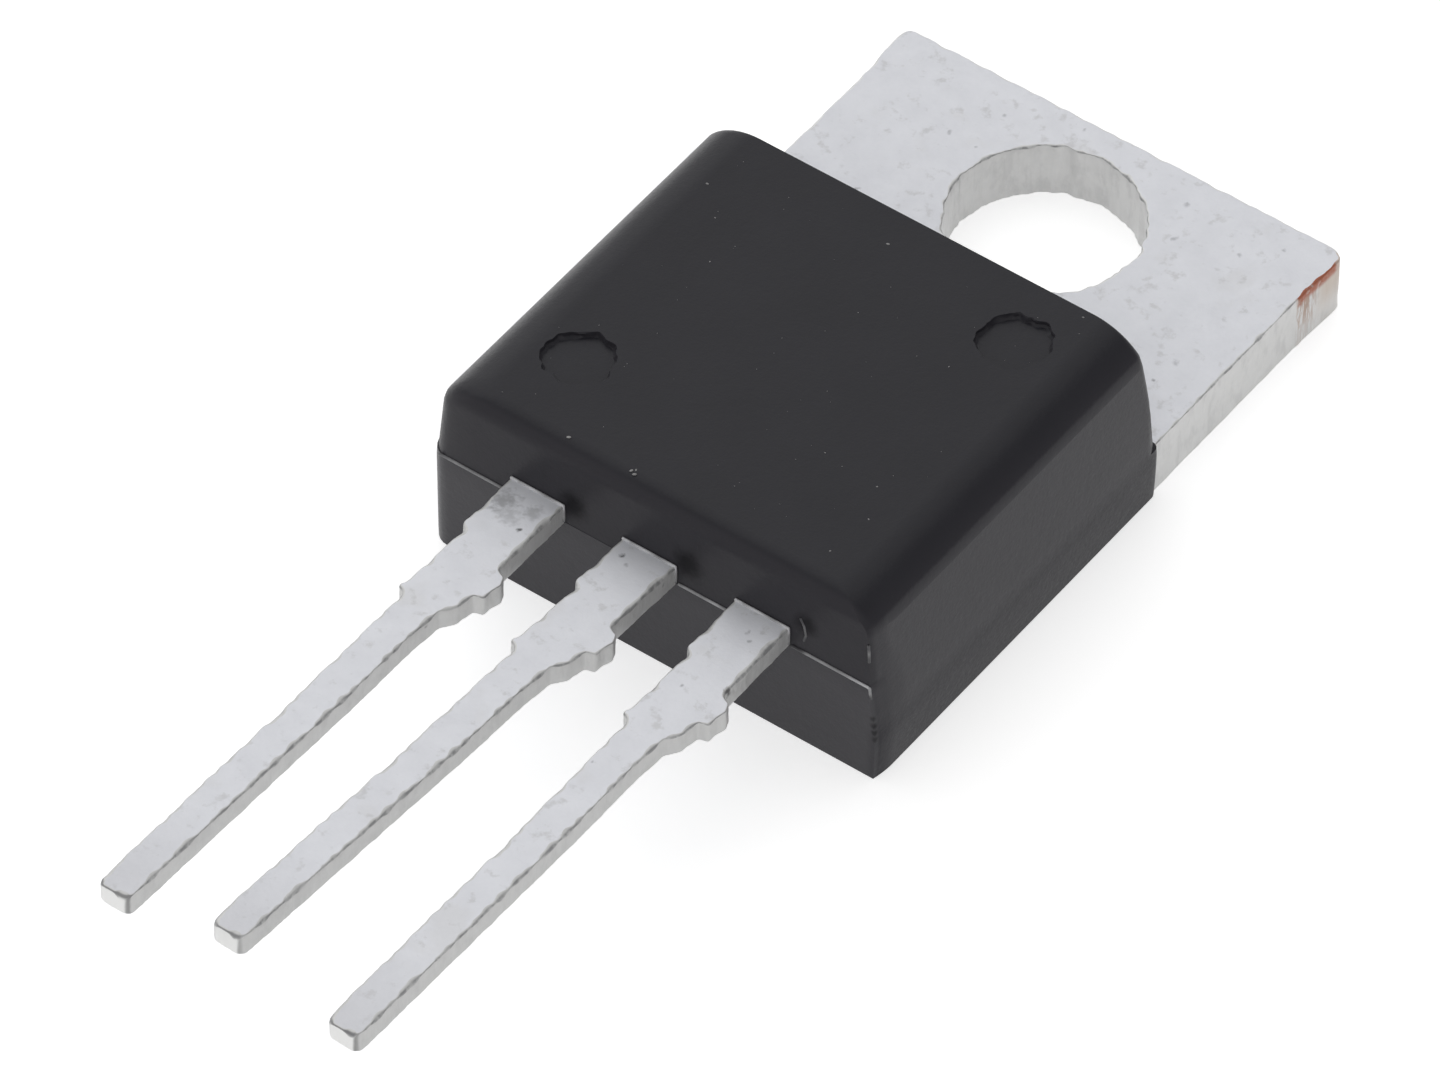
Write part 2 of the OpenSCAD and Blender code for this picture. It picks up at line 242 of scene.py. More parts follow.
def grain(nodes, links, place, scale, detail=4.0, rough=0.5):
    """A noise value between 0 and 1, with so many cells in a millimetre."""
    texture = nodes.new("ShaderNodeGroup")
    texture.node_tree = grain_tree
    texture.inputs["Scale"].default_value = scale
    texture.inputs["Detail"].default_value = detail
    texture.inputs["Roughness"].default_value = rough
    links.new(place, texture.inputs["Place"])
    return texture.outputs["Value"]


def times(nodes, links, first, second):
    """Two values multiplied, each a number or a socket."""
    return combined(nodes, links, "MULTIPLY", first, second)


def window(nodes, links, value, start, full, fade, end, top=1.0):
    """The top value where the value is between full and fade, and 0 before start and past end."""
    rise = ramp(nodes, links, value, start, full, 0.0, top)
    return times(nodes, links, rise, ramp(nodes, links, value, fade, end, 1.0, 0.0))


def blend_colour(nodes, links, mask, first, second):
    """One colour where the mask is 0, the other where it is 1. Each is a value or a socket."""
    mix = nodes.new("ShaderNodeMix")
    mix.data_type = "RGBA"
    links.new(mask, mix.inputs["Factor"])
    for socket, colour in (("A", first), ("B", second)):
        target = [s for s in mix.inputs if s.name == socket and s.type == "RGBA"][0]
        if isinstance(colour, tuple):
            target.default_value = colour + (1,)
        else:
            links.new(colour, target)
    return [s for s in mix.outputs if s.type == "RGBA"][0]


def bumps(nodes, links, layers):
    """A normal from several heights laid over each other: (value, depth in millimetres)."""
    normal = None
    for value, depth in layers:
        bump = nodes.new("ShaderNodeBump")
        bump.inputs["Distance"].default_value = depth * mm
        bump.inputs["Strength"].default_value = 1.0
        links.new(value, bump.inputs["Height"])
        if normal is not None:
            links.new(normal, bump.inputs["Normal"])
        normal = bump.outputs["Normal"]
    return normal


def irregular_spot():
    """A group whose mask is 1 in the middle of one ragged spot and 0 past its radius."""
    tree, given, made = new_group(
        "irregular_spot", "ShaderNodeTree",
        [("Place", "Vector"), ("Centre", "Vector"), ("Radius", "Float"), ("Raggedness", "Float")],
        [("Mask", "Float")],
    )
    nodes, links = tree.nodes, tree.links
    wobble = nodes.new("ShaderNodeTexNoise")
    wobble.inputs["Scale"].default_value = 7.0
    wobble.inputs["Detail"].default_value = 4.0
    links.new(given.outputs["Place"], wobble.inputs["Vector"])
    centred = nodes.new("ShaderNodeVectorMath")
    centred.operation = "SUBTRACT"
    centred.inputs[1].default_value = (0.5, 0.5, 0.5)
    links.new(wobble.outputs["Color"], centred.inputs[0])
    reach = nodes.new("ShaderNodeVectorMath")
    reach.operation = "SCALE"
    links.new(centred.outputs["Vector"], reach.inputs[0])
    span = times(nodes, links, given.outputs["Radius"], given.outputs["Raggedness"])
    links.new(span, reach.inputs["Scale"])
    moved = nodes.new("ShaderNodeVectorMath")
    moved.operation = "ADD"
    links.new(given.outputs["Place"], moved.inputs[0])
    links.new(reach.outputs["Vector"], moved.inputs[1])
    apart = nodes.new("ShaderNodeVectorMath")
    apart.operation = "DISTANCE"
    links.new(moved.outputs["Vector"], apart.inputs[0])
    links.new(given.outputs["Centre"], apart.inputs[1])
    share = combined(nodes, links, "DIVIDE", apart.outputs["Value"], given.outputs["Radius"])
    links.new(ramp(nodes, links, share, 0.15, 1.0, 1.0, 0.0), made.inputs["Mask"])
    return tree


spot_tree = irregular_spot()


def spots(nodes, links, place, marks, raggedness):
    """The strongest of several spots at a place. Each has a centre, a radius and a strength,
    and the raggedness of their rims is shared."""
    total = None
    for x, y, z, radius, strength in marks:
        spot = nodes.new("ShaderNodeGroup")
        spot.node_tree = spot_tree
        spot.inputs["Centre"].default_value = (x, y, z)
        spot.inputs["Radius"].default_value = radius
        spot.inputs["Raggedness"].default_value = raggedness
        links.new(place, spot.inputs["Place"])
        mask = times(nodes, links, spot.outputs["Mask"], strength)
        total = mask if total is None else combined(nodes, links, "MAXIMUM", total, mask)
    return total


def part_of(nodes, links, place, axis):
    """One of the three numbers of a place."""
    split = nodes.new("ShaderNodeSeparateXYZ")
    links.new(place, split.inputs[0])
    return split.outputs[axis]


tin, nodes, links = new_material("dull_tin_plate")
metal = nodes["Principled BSDF"]
metal.inputs["Metallic"].default_value = 0.30
place = scaled_place(nodes, links, (1, 1, 1))
mottle = grain(nodes, links, place, 1.6, 5)
fine = grain(nodes, links, place, 14.0, 5, 0.6)
stain = ramp(nodes, links, grain(nodes, links, place, 0.9, 3), 0.58, 0.72, 0.0, 0.4)
flecks = ramp(nodes, links, grain(nodes, links, place, 3.4, 4, 0.6), 0.56, 0.72, 0.0, 0.60)
tin_colour = blend_colour(nodes, links, mottle, (0.71, 0.72, 0.76), (0.83, 0.84, 0.88))
# Dark stains by the outer root of the left lead, pits on the leads and faint dents on the
# tab, each with its place, radius and strength
stains = (
    (-2.97, -12.90, 2.80, 0.42, 0.58), (-2.66, -13.12, 2.80, 0.34, 0.34), (-2.34, -12.80, 2.80, 0.26, 0.40),
)
marks = (
    (-2.265, -13.33, 2.80, 0.075, 1.0), (-0.39, -12.72, 2.82, 0.08, 0.90),
    (3.05, -14.20, 2.80, 0.10, 0.85), (-2.22, -16.17, 2.80, 0.06, 0.70), (2.16, -17.02, 2.80, 0.05, 0.40),
    (-0.20, -12.86, 2.83, 0.07, 0.40), (2.54, -12.87, 2.80, 0.08, 0.50), (2.68, -13.02, 2.80, 0.06, 0.45),
    (2.35, -14.61, 2.80, 0.06, 0.50), (-2.76, 0.77, 1.30, 0.08, 0.40), (-2.18, 1.75, 1.30, 0.08, 0.40),
    (-0.75, 2.35, 1.30, 0.07, 0.35), (-2.14, 0.76, 1.30, 0.06, 0.40), (1.94, 1.88, 1.30, 0.09, 0.45),
    (4.07, 1.97, 1.30, 0.07, 0.40), (3.49, 1.39, 1.30, 0.08, 0.35), (2.25, 1.03, 1.30, 0.09, 0.40),
    (4.04, -2.20, 1.30, 0.06, 0.60), (4.11, -1.61, 1.30, 0.10, 0.35), (-3.22, -1.77, 1.30, 0.10, 0.40),
    (-3.29, -1.44, 1.30, 0.07, 0.35),
)
# The plate is duller toward the tips
dull_tip = ramp(nodes, links, part_of(nodes, links, place, "Y"), -24.6, -22.0, 0.45, 0.0)
for mask, colour in (
    (stain, (0.70, 0.70, 0.71)), (flecks, (0.58, 0.58, 0.59)),
    (spots(nodes, links, place, stains, 1.7), (0.20, 0.20, 0.205)),
    (spots(nodes, links, place, marks, 2.4), (0.16, 0.16, 0.17)),
    (dull_tip, (0.60, 0.60, 0.625)),
):
    tin_colour = blend_colour(nodes, links, mask, tin_colour, colour)
links.new(tin_colour, metal.inputs["Base Color"])
links.new(ramp(nodes, links, fine, 0.3, 0.7, 0.42, 0.58), metal.inputs["Roughness"])
links.new(bumps(nodes, links, ((mottle, 0.010), (fine, 0.003))), metal.inputs["Normal"])


# The walls that the stamping tool cut are duller: torn metal with fine upright drag marks, darker in
# patches along the rounded upper edge. Bare copper shows where the tie bar was cut off the tab.
cut_tin, nodes, links = new_material("cut_edge_of_tinned_copper")
metal = nodes["Principled BSDF"]
metal.inputs["Metallic"].default_value = 0.30
place = scaled_place(nodes, links, (1, 1, 1))
upright = scaled_place(nodes, links, (1, 1, 0.12))
drag = grain(nodes, links, upright, 18.0, 4, 0.6)
mottle = grain(nodes, links, place, 4.0, 5, 0.6)
tall = scaled_place(nodes, links, (1, 1, 0.45))
torn = ramp(nodes, links, grain(nodes, links, tall, 3.2, 4, 0.6), 0.46, 0.66, 0.0, 0.35)
cut_colour = blend_colour(nodes, links, mottle, (0.76, 0.76, 0.755), (0.86, 0.86, 0.855))
along = part_of(nodes, links, place, "Y")
across = part_of(nodes, links, place, "X")
lead_side = ramp(nodes, links, along, -13.0, -11.5, 0.5, 0.0)
facing = nodes.new("ShaderNodeTexCoord")
upward = part_of(nodes, links, facing.outputs["Normal"], "Z")
sideward = part_of(nodes, links, facing.outputs["Normal"], "X")
forward = part_of(nodes, links, facing.outputs["Normal"], "Y")
# The forward faces of the cut tips get a painted highlight, and their rounded edges above and on their
# right get painted shade
tip_zone = ramp(nodes, links, along, -24.64, -24.50, 1.0, 0.0)
tip_face_painted_highlight = times(nodes, links, ramp(nodes, links, forward, -0.95, -0.75, 1.0, 0.0), tip_zone)
rims = [window(nodes, links, value, 0.25, 0.60, 0.80, 0.98, 0.75) for value in (upward, sideward)]
tip_rim_painted_shade = times(nodes, links, combined(nodes, links, "MAXIMUM", *rims), tip_zone)
# Darker in patches along the rounded upper edge, chosen by the surface's slope
dark_upper_edge = window(nodes, links, upward, 0.10, 0.35, 0.70, 0.97)
dark_upper_edge = times(nodes, links, dark_upper_edge, ramp(nodes, links, mottle, 0.40, 0.60, 0.15, 0.75))
# Bare copper by the cut stub: a streak under the upper edge, upright shear marks and a tan tint
height_here = part_of(nodes, links, place, "Z")
stub_side = ramp(nodes, links, across, 4.88, 4.94, 0.0, 1.0)
streak = window(nodes, links, along, 1.02, 1.14, 2.20, 2.42)
streak = times(nodes, links, streak, ramp(nodes, links, height_here, 1.02, 1.18, 0.0, 1.0))
streak = times(nodes, links, streak, ramp(nodes, links, mottle, 0.38, 0.50, 0.45, 1.0))
shear = window(nodes, links, along, 1.02, 1.14, 1.45, 1.80)
shear = times(nodes, links, shear, ramp(nodes, links, drag, 0.40, 0.54, 0.0, 0.75))
shear = times(nodes, links, shear, ramp(nodes, links, height_here, 0.2, 0.9, 0.25, 1.0))
tint = times(
    nodes, links, ramp(nodes, links, along, 1.50, 2.00, 0.0, 0.7),
    ramp(nodes, links, height_here, 0.2, 1.0, 0.2, 1.0),
)
# Small dark nicks along the upper edge of the leads' right sides
nicks = (
    (3.07, -14.21, 2.72, 0.13, 0.9), (0.50, -12.71, 2.66, 0.08, 0.9), (-2.20, -16.17, 2.75, 0.07, 0.8),
)
for mask, colour in (
    (torn, (0.58, 0.58, 0.58)), (lead_side, (0.56, 0.56, 0.555)), (tip_face_painted_highlight, (0.97, 0.97, 0.96)),
    (tip_rim_painted_shade, (0.22, 0.22, 0.22)), (dark_upper_edge, (0.24, 0.24, 0.25)),
    (spots(nodes, links, place, nicks, 1.6), (0.10, 0.10, 0.10)),
    (times(nodes, links, tint, stub_side), (0.62, 0.50, 0.40)),
    (times(nodes, links, shear, stub_side), (0.40, 0.22, 0.13)),
    (times(nodes, links, streak, stub_side), (0.42, 0.135, 0.075)),
):
    cut_colour = blend_colour(nodes, links, mask, cut_colour, colour)
links.new(cut_colour, metal.inputs["Base Color"])
links.new(ramp(nodes, links, drag, 0.3, 0.7, 0.34, 0.5), metal.inputs["Roughness"])
links.new(bumps(nodes, links, ((drag, 0.006), (mottle, 0.012))), metal.inputs["Normal"])


def ragged(point, size, cells):
    """Smooth repeatable wobble of a place on the metal, in millimetres."""
    return size * noise.noise(Vector(point) * cells)


def ring_edges(bm, ring):
    """The edges that join each point of a ring to the next one."""
    return [bm.edges.get(pair) for pair in zip(ring, ring[1:] + ring[:1])]


def band(bm, below, above, slot=0):
    """Smooth faces between two rings that have as many points."""
    for i in range(len(below)):
        j = (i + 1) % len(below)
        face = bm.faces.new((below[i], below[j], above[j], above[i]))
        face.material_index = slot
        face.smooth = True


def stamped_sheet(bm, loops, low, high, edge_r, wobble):
    """A flat piece between two heights, with rounded edges and slightly uneven cut walls.
    The first loop is the outline, run anticlockwise, and the others are holes, clockwise.
    edge_r gives the lower and the upper edge radius at a point."""
    steps = 4
    wall = 5
    largest_r = 0.11
    caps = ([], [])
    for loop in loops:
        count = len(loop)
        rows = []
        for row in range(2 * steps + wall + 1):
            ring = []
            for i, (x, y) in enumerate(loop):
                before, after = loop[i - 1], loop[(i + 1) % count]
                along = Vector((after[0] - before[0], after[1] - before[1])).normalized()
                low_r, high_r = edge_r(x, y)
                high_r = min(largest_r, high_r * (1 + max(-0.6, ragged((x, y, 7.7), 1.6, 4.0))))
                if row <= steps:
                    turn = math.pi / 2 * row / steps
                    inset, z = low_r * (1 - math.sin(turn)), low + low_r * (1 - math.cos(turn))
                elif row >= steps + wall:
                    turn = math.pi / 2 * (2 * steps + wall - row) / steps
                    inset, z = high_r * (1 - math.sin(turn)), high - high_r * (1 - math.cos(turn))
                else:
                    share = (row - steps) / wall
                    inset, z = 0, low + low_r + (high - low - low_r - high_r) * share
                inset += ragged((x, y, z), wobble, 3.1) + ragged((y, z, x), wobble / 2, 11.0)
                ring.append(bm.verts.new((
                    (x - along.y * inset) * mm, (y + along.x * inset) * mm, z * mm,
                )))
            rows.append(ring)
        for below, above in zip(rows, rows[1:]):
            band(bm, below, above, slot=1)
        for cap, ring in zip(caps, (rows[0], rows[-1])):
            cap.extend(ring_edges(bm, ring))
    for cap in caps:
        bmesh.ops.triangle_fill(bm, edges=cap, use_beauty=True)
        for edge in cap:
            edge.smooth = False


def dense(points, spacing):
    """A closed outline with extra points, so that no stretch is longer than the spacing."""
    out = []
    for (x0, y0), (x1, y1) in zip(points, points[1:] + points[:1]):
        parts = max(1, math.ceil(math.hypot(x1 - x0, y1 - y0) / spacing))
        out.extend((x0 + (x1 - x0) * k / parts, y0 + (y1 - y0) * k / parts) for k in range(parts))
    return out


def softened(points, rounds=2):
    """The same closed outline with its corners eased, each point drawn to its neighbours."""
    for _ in range(rounds):
        points = [
            ((a[0] + 2 * b[0] + c[0]) / 4, (a[1] + 2 * b[1] + c[1]) / 4)
            for a, b, c in zip(points[-1:] + points[:-1], points, points[1:] + points[:1])
        ]
    return points


crease = math.radians(38)


def finished(name, bm, materials, node):
    """Turns the mesh into a piece that stands for a node of the part."""
    bmesh.ops.recalc_face_normals(bm, faces=bm.faces)
    for edge in bm.edges:
        if len(edge.link_faces) == 2 and edge.calc_face_angle() > crease:
            edge.smooth = False
    data = bpy.data.meshes.new(name)
    bm.to_mesh(data)
    bm.free()
    for material in materials:
        data.materials.append(material)
    piece = placed(name, data)
    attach(piece, "root")
    if node:
        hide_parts(node)
    return piece


same_point = 0.0005 * mm


def packed_copy(node):
    """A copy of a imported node's mesh, with its doubled points joined."""
    copy = bmesh.new()
    copy.from_mesh(bpy.data.objects[node].data)
    bmesh.ops.remove_doubles(copy, verts=copy.verts, dist=same_point)
    return copy


def poured(source, bm):
    """Moves one mesh that is being built into another."""
    spare = bpy.data.meshes.new("spare")
    source.to_mesh(spare)
    source.free()
    bm.from_mesh(spare)
    bpy.data.meshes.remove(spare)


def inner_metal(bm, node, from_y, to_y):
    """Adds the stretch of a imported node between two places: the metal inside the moulding."""
    packed = packed_copy(node)
    for cut_y, outward in ((from_y, -1), (to_y, 1)):
        cut = bmesh.ops.bisect_plane(
            packed, geom=packed.verts[:] + packed.edges[:] + packed.faces[:],
            plane_co=(0, cut_y * mm, 0), plane_no=(0, outward, 0), clear_outer=True,
        )
        rim = [g for g in cut["geom_cut"] if isinstance(g, bmesh.types.BMEdge)]
        bmesh.ops.holes_fill(packed, edges=rim)
    poured(packed, bm)


# Lead blade: the stretch of a lead outside the body, tinned copper cut by one stamping tool
# for all three leads. It is drawn as an outline with a wide part at the root, the stub of
# the cut tie bar on its right edge and a narrow pin.
body_low, body_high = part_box("moulded_body")
front_y, rear_y = body_low.y / mm, body_high.y / mm
lead_low, lead_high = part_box("emitter_lead")
lead_z0, lead_z1 = lead_low.z / mm, lead_high.z / mm
lead_pitch = 2.54
mould_shift = 0.07  # the upper mould half and the leads in it stand this far left of the tab
overlap = 0.15
wide_half = 0.6
hidden_root = 0.3
tip_r = 0.10
edge_small = 0.055
left_edge = [
    (-hidden_root, -0.60), (0, -0.60), (1.44, -0.59), (1.58, -0.495), (3.26, -0.51),
    (3.33, -0.565), (3.41, -0.555), (3.46, -0.43), (3.56, -0.375), (4.20, -0.37), (7.4, -0.345),
]
right_edge = [
    (6.06, 0.395), (4.22, 0.375), (3.47, 0.41), (3.18, 0.61), (2.77, 0.65), (2.71, 0.85),
    (2.48, 0.85), (2.28, 0.92), (2.08, 0.83), (1.99, 0.64), (1.0, 0.615), (0, 0.60),
    (-hidden_root, 0.60),
]


def lead_blade(bm, x, length, tilt, turn):
    """Adds one lead's visible blade, tilted up and turned left about its root corner."""
    tip = [
        (length - 0.15, -0.362), (length - 0.045, -0.32), (length, -0.225),
        (length, 0.22), (length - 0.045, 0.315), (length - 0.15, 0.357),
    ]
    outline = [(across, -along) for along, across in left_edge + tip + right_edge]
    outline = softened(dense(outline, 0.04))
    corner = Vector((wide_half, 0, 0))

    def edge_r(px, py):
        near = max(0.0, 1 - (length + py) / 0.12)
        r = edge_small + (tip_r - edge_small) * min(1.0, near * 1.5)
        return r, r

    blade = bmesh.new()
    stamped_sheet(blade, [outline], 0, lead_z1 - lead_z0, edge_r, wobble=0.014)
    pose = (
        Matrix.Translation(Vector((x - mould_shift + wide_half, front_y, lead_z0)) * mm)
        @ Matrix.Rotation(math.radians(-turn), 4, "Z")
        @ Matrix.Rotation(math.radians(-tilt), 4, "X")
        @ Matrix.Translation(-corner * mm)
    )
    bmesh.ops.transform(blade, matrix=pose, verts=blade.verts)
    poured(blade, bm)


# Header: the tab with its hole, the die pad and the middle lead, stamped and formed in one
# piece from copper strip of two thicknesses, then tinned.
tab_low, tab_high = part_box("header")
hole = [m for m in frame["record"]["mounts"] if m["name"] == "tab_hole"][0]
hole_r = hole["dims"]["r_mm"]
tab_t = hole["dims"]["length_mm"]
tab_left, tab_right, tab_end = -4.985, 5.0, tab_high.y / mm - 0.01
stub_left, stub_right = tab_low.x / mm + 0.01, tab_high.x / mm - 0.01
tab_seat = 0.7
tab_root = rear_y - tab_seat
# The two far corners keep stubs of the tie bar, cut off a little uneven
tab_outline = [
    (tab_left, tab_root), (tab_right, tab_root), (tab_right + 0.01, tab_end - 1.50),
    (tab_right + 0.045, tab_end - 1.44), (tab_right + 0.02, tab_end - 1.26),
    (tab_right + 0.055, tab_end - 0.85), (stub_right - 0.005, tab_end - 0.45),
    (stub_right, tab_end - 0.16), (stub_right - 0.20, tab_end),
    (stub_left + 0.20, tab_end), (stub_left + 0.045, tab_end - 0.075), (stub_left, tab_end - 0.22),
    (stub_left + 0.02, tab_end - 0.66), (stub_left + 0.055, tab_end - 1.02),
    (stub_left + 0.05, tab_end - 1.15), (tab_left, tab_end - 1.30),
]
hole_steps = 240
hole_loop = []
for k in range(hole_steps):
    turn = -2 * math.pi * k / hole_steps
    spoke = (math.cos(turn) * 2, math.sin(turn) * 2, 5.5)
    r = hole_r + ragged(spoke, 0.035, 2.6) + ragged(spoke, 0.05, 7.0)
    hole_loop.append((r * math.cos(turn), r * math.sin(turn)))
bm = bmesh.new()
tab_edges = [softened(dense(tab_outline, 0.08)), hole_loop]
stamped_sheet(bm, tab_edges, 0, tab_t, edge_r=lambda x, y: (0.05, 0.04), wobble=0.010)
inner_metal(bm, "header", front_y + overlap, tab_root + 0.05)
lead_blade(bm, 0, length=12.3, tilt=3.8, turn=0.67)
finished("header_metal", bm, (tin, cut_tin), "header")

# Base and emitter leads: tinned copper, cut free of the strip when its tie bar goes. Each is
# a blade of its own length and tilt, and ends in a wider post in the moulding.
for node, side, length, tilt, turn in (
    ("base_lead", -1, 12.39, 1.5, 0.26), ("emitter_lead", 1, 12.3, 0, 0.5),
):
    bm = bmesh.new()
    inner_metal(bm, node, front_y + overlap, 0)
    lead_blade(bm, side * lead_pitch, length, tilt, turn)
    finished(node + "_metal", bm, (tin, cut_tin), node)

# Moulded body: black epoxy, pressed around the header's pad and the leads' roots in a two
# part mould. The lower half stands a hair proud, and the upper half is drafted and stands a
# little left of it. It is built from rings round the body, one above the other.
crumb_room = 0.02
body_w, body_h = body_high.x / mm * 2, body_high.z / mm - crumb_room
side_draft, front_draft, rear_draft = (math.radians(a) for a in (4.5, 3.25, 5.25))
shoulder_r, brow_r = 1.15, 0.40
shoulder_turn = math.radians(56)
parting_z = lead_z0 + 0.085
proud_front = 0.02
corner_front, corner_rear = 0.40, 0.16
upper_half_w = body_w / 2 - proud_front
shoulder_z = body_h - shoulder_r
side_ends_z = shoulder_z + shoulder_r * math.cos(shoulder_turn)
shoulder_x = (
    upper_half_w - (side_ends_z - tab_t) * math.tan(side_draft) - shoulder_r * math.sin(shoulder_turn)
)
brow_z = body_h - brow_r
brow_y = (
    front_y + proud_front + (brow_z - parting_z) * math.tan(front_draft) + brow_r / math.cos(front_draft)
)
front_ends_z = brow_z + brow_r * math.sin(front_draft)
# The right front corner is crisp and then bends slowly into the right wall
crisp_x, crisp_y = 0.07, 0.45
# On the side walls the parting line turns from the leads' height to the tab's top
turn_from, turn_to = front_y + 0.35, front_y + 0.80


def within(value, low, high):
    """How far the value is from low to high, between 0 and 1."""
    return min(1.0, max(0.0, (value - low) / (high - low)))


def eased(share):
    """A share between 0 and 1 that starts and ends gently."""
    return share * share * (3 - 2 * share)


def drafted(z):
    """How far a side wall has leaned in at a height. It starts to lean gently by the tab's top."""
    gentle = 0.35
    rise = max(0.0, z - tab_t + gentle)
    return math.tan(side_draft) * (rise * rise / (4 * gentle) if rise < 2 * gentle else rise - gentle)


def half_width(z):
    """Half the width of the upper mould half at a height."""
    if z < side_ends_z:
        return upper_half_w - drafted(z)
    return shoulder_x + math.sqrt(max(0, shoulder_r ** 2 - (z - shoulder_z) ** 2))


def front_place(z):
    """Where the front of the upper mould half is at a height."""
    if z < front_ends_z:
        return front_y + proud_front + max(0, z - parting_z) * math.tan(front_draft)
    return brow_y - math.sqrt(max(0, brow_r ** 2 - (z - brow_z) ** 2))


def rear_place(z):
    """Where the rear of the upper mould half is at a height."""
    return rear_y - proud_front - max(0, z - tab_t) * math.tan(rear_draft)


def around_body(step):
    """Points once round the moulding in plan, anticlockwise from the front left: each gives
    the wall or corner that it is on and how far along it."""
    corner_parts = 6
    for wall, corner, length in (
        ("front", "front_right", body_w), ("right", "rear_right", rear_y - front_y),
        ("rear", "rear_left", body_w), ("left", "front_left", rear_y - front_y),
    ):
        for stretch, parts in ((wall, math.ceil(length / step)), (corner, corner_parts)):
            for k in range(parts):
                yield stretch, k / parts


def body_point(wall, share, half_w, front, rear):
    """The plan point on a wall or corner for one height's half width, front and rear."""
    front_x, rear_x = half_w - corner_front, half_w - corner_rear
    front_c, rear_c = front + corner_front, rear - corner_rear
    if wall == "front":
        return -front_x + (front_x + half_w - crisp_x) * share, front
    if wall == "right":
        return half_w, front + crisp_y + (rear_c - front - crisp_y) * share
    if wall == "rear":
        return rear_x - 2 * rear_x * share, rear
    if wall == "left":
        return -half_w, rear_c - (rear_c - front_c) * share
    turn = math.pi / 2 * share
    if wall == "front_right":
        bow = 2 * share * (1 - share)
        return (
            half_w - crisp_x * ((1 - share) ** 2 + 0.2 * bow),
            front + crisp_y * (0.45 * bow + share ** 2),
        )
    if wall == "rear_right":
        return rear_x + corner_rear * math.cos(turn), rear_c + corner_rear * math.sin(turn)
    if wall == "rear_left":
        return -rear_x - corner_rear * math.sin(turn), rear_c + corner_rear * math.cos(turn)
    return -front_x - corner_front * math.cos(turn), front_c - corner_front * math.sin(turn)


def parting_height(wall, y):
    """The parting line's height: at the leads along the front, at the tab's top elsewhere."""
    if wall in ("front", "front_left", "front_right"):
        return parting_z
    if wall in ("left", "right"):
        return parting_z + (tab_t - parting_z) * eased(within(y, turn_from, turn_to))
    return tab_t


def proud(wall, y):
    """How far the lower half stands out past the upper one."""
    if wall in ("left", "right"):
        return proud_front * (1 - within(y, turn_from, turn_to))
    return proud_front


def mismatch(x, y, z, upper_half):
    """How far a place is drawn left, for the upper mould half stands left of the lower one.
    Down the right wall the step fades out, but for the rear corner."""
    elsewhere = 1.0 if upper_half else 0.0
    at_corner = within(-y, -front_y - 0.9, -front_y - 0.3) * eased(within(z, 0.9, parting_z))
    at_rear = within(y, rear_y - 0.24, rear_y - 0.15) * elsewhere
    on_right = max(within(z, tab_t, side_ends_z) ** 2, at_corner, at_rear)
    return mould_shift * (elsewhere + (on_right - elsewhere) * within(x / upper_half_w, 0.80, 0.95))


lower_rows, draft_rows, shoulder_rows = 10, 14, 18
parting_gap = 0.006
parting_rim, foot_rim, foot_lean = 0.012, 0.004, 0.04
stations = list(around_body(0.12))
rows = []
for row in range(lower_rows + draft_rows + shoulder_rows + 2):
    ring = []
    for wall, share in stations:
        plan = body_point(wall, share, upper_half_w, front_y + proud_front, rear_y - proud_front)
        part_z = parting_height(wall, plan[1])
        if row <= lower_rows:
            z = part_z * row / lower_rows
            rim = parting_rim if row == lower_rows else foot_rim if row == 0 else 0.0
            out = proud(wall, plan[1]) - rim
            lean = drafted(z) + foot_lean * max(0.0, 1 - z / tab_t) ** 2
            half_w = upper_half_w
            if "right" not in wall and wall != "front":
                half_w = min(upper_half_w + out, body_w / 2 - rim)
            x, y = body_point(wall, share, half_w, front_y + proud_front - out, rear_y - proud_front + out)
            x -= max(0.0, x / half_w) * lean + mismatch(x, y, z, False)
        else:
            if row <= lower_rows + draft_rows + 1:
                step = (row - lower_rows - 1) / (draft_rows + 1)
                z = part_z + parting_gap + (side_ends_z - part_z - parting_gap) * step
            else:
                bend = shoulder_turn * (1 - (row - lower_rows - draft_rows - 1) / shoulder_rows)
                z = shoulder_z + shoulder_r * math.cos(bend)
            x, y = body_point(wall, share, half_width(z), front_place(z), rear_place(z))
            x -= mismatch(x, y, z, True)
        ring.append((x, y, z))
    rows.append(ring)

ejector_marks = ((-3.22, 2.11), (2.92, 7.18))
ejector_r, ejector_depth = 0.70, 0.12
mark_steps = 120
bm = bmesh.new()
rings = [[bm.verts.new(Vector(p) * mm) for p in ring] for ring in rows]
for below, above in zip(rings, rings[1:]):
    band(bm, below, above)
# Where the rounded shoulder meets a side wall there is a slight edge
for (wall, _), edge in zip(stations, ring_edges(bm, rings[lower_rows + draft_rows + 1])):
    if wall in ("left", "right"):
        edge.smooth = False
bmesh.ops.triangle_fill(bm, edges=ring_edges(bm, rings[0]), use_beauty=True)
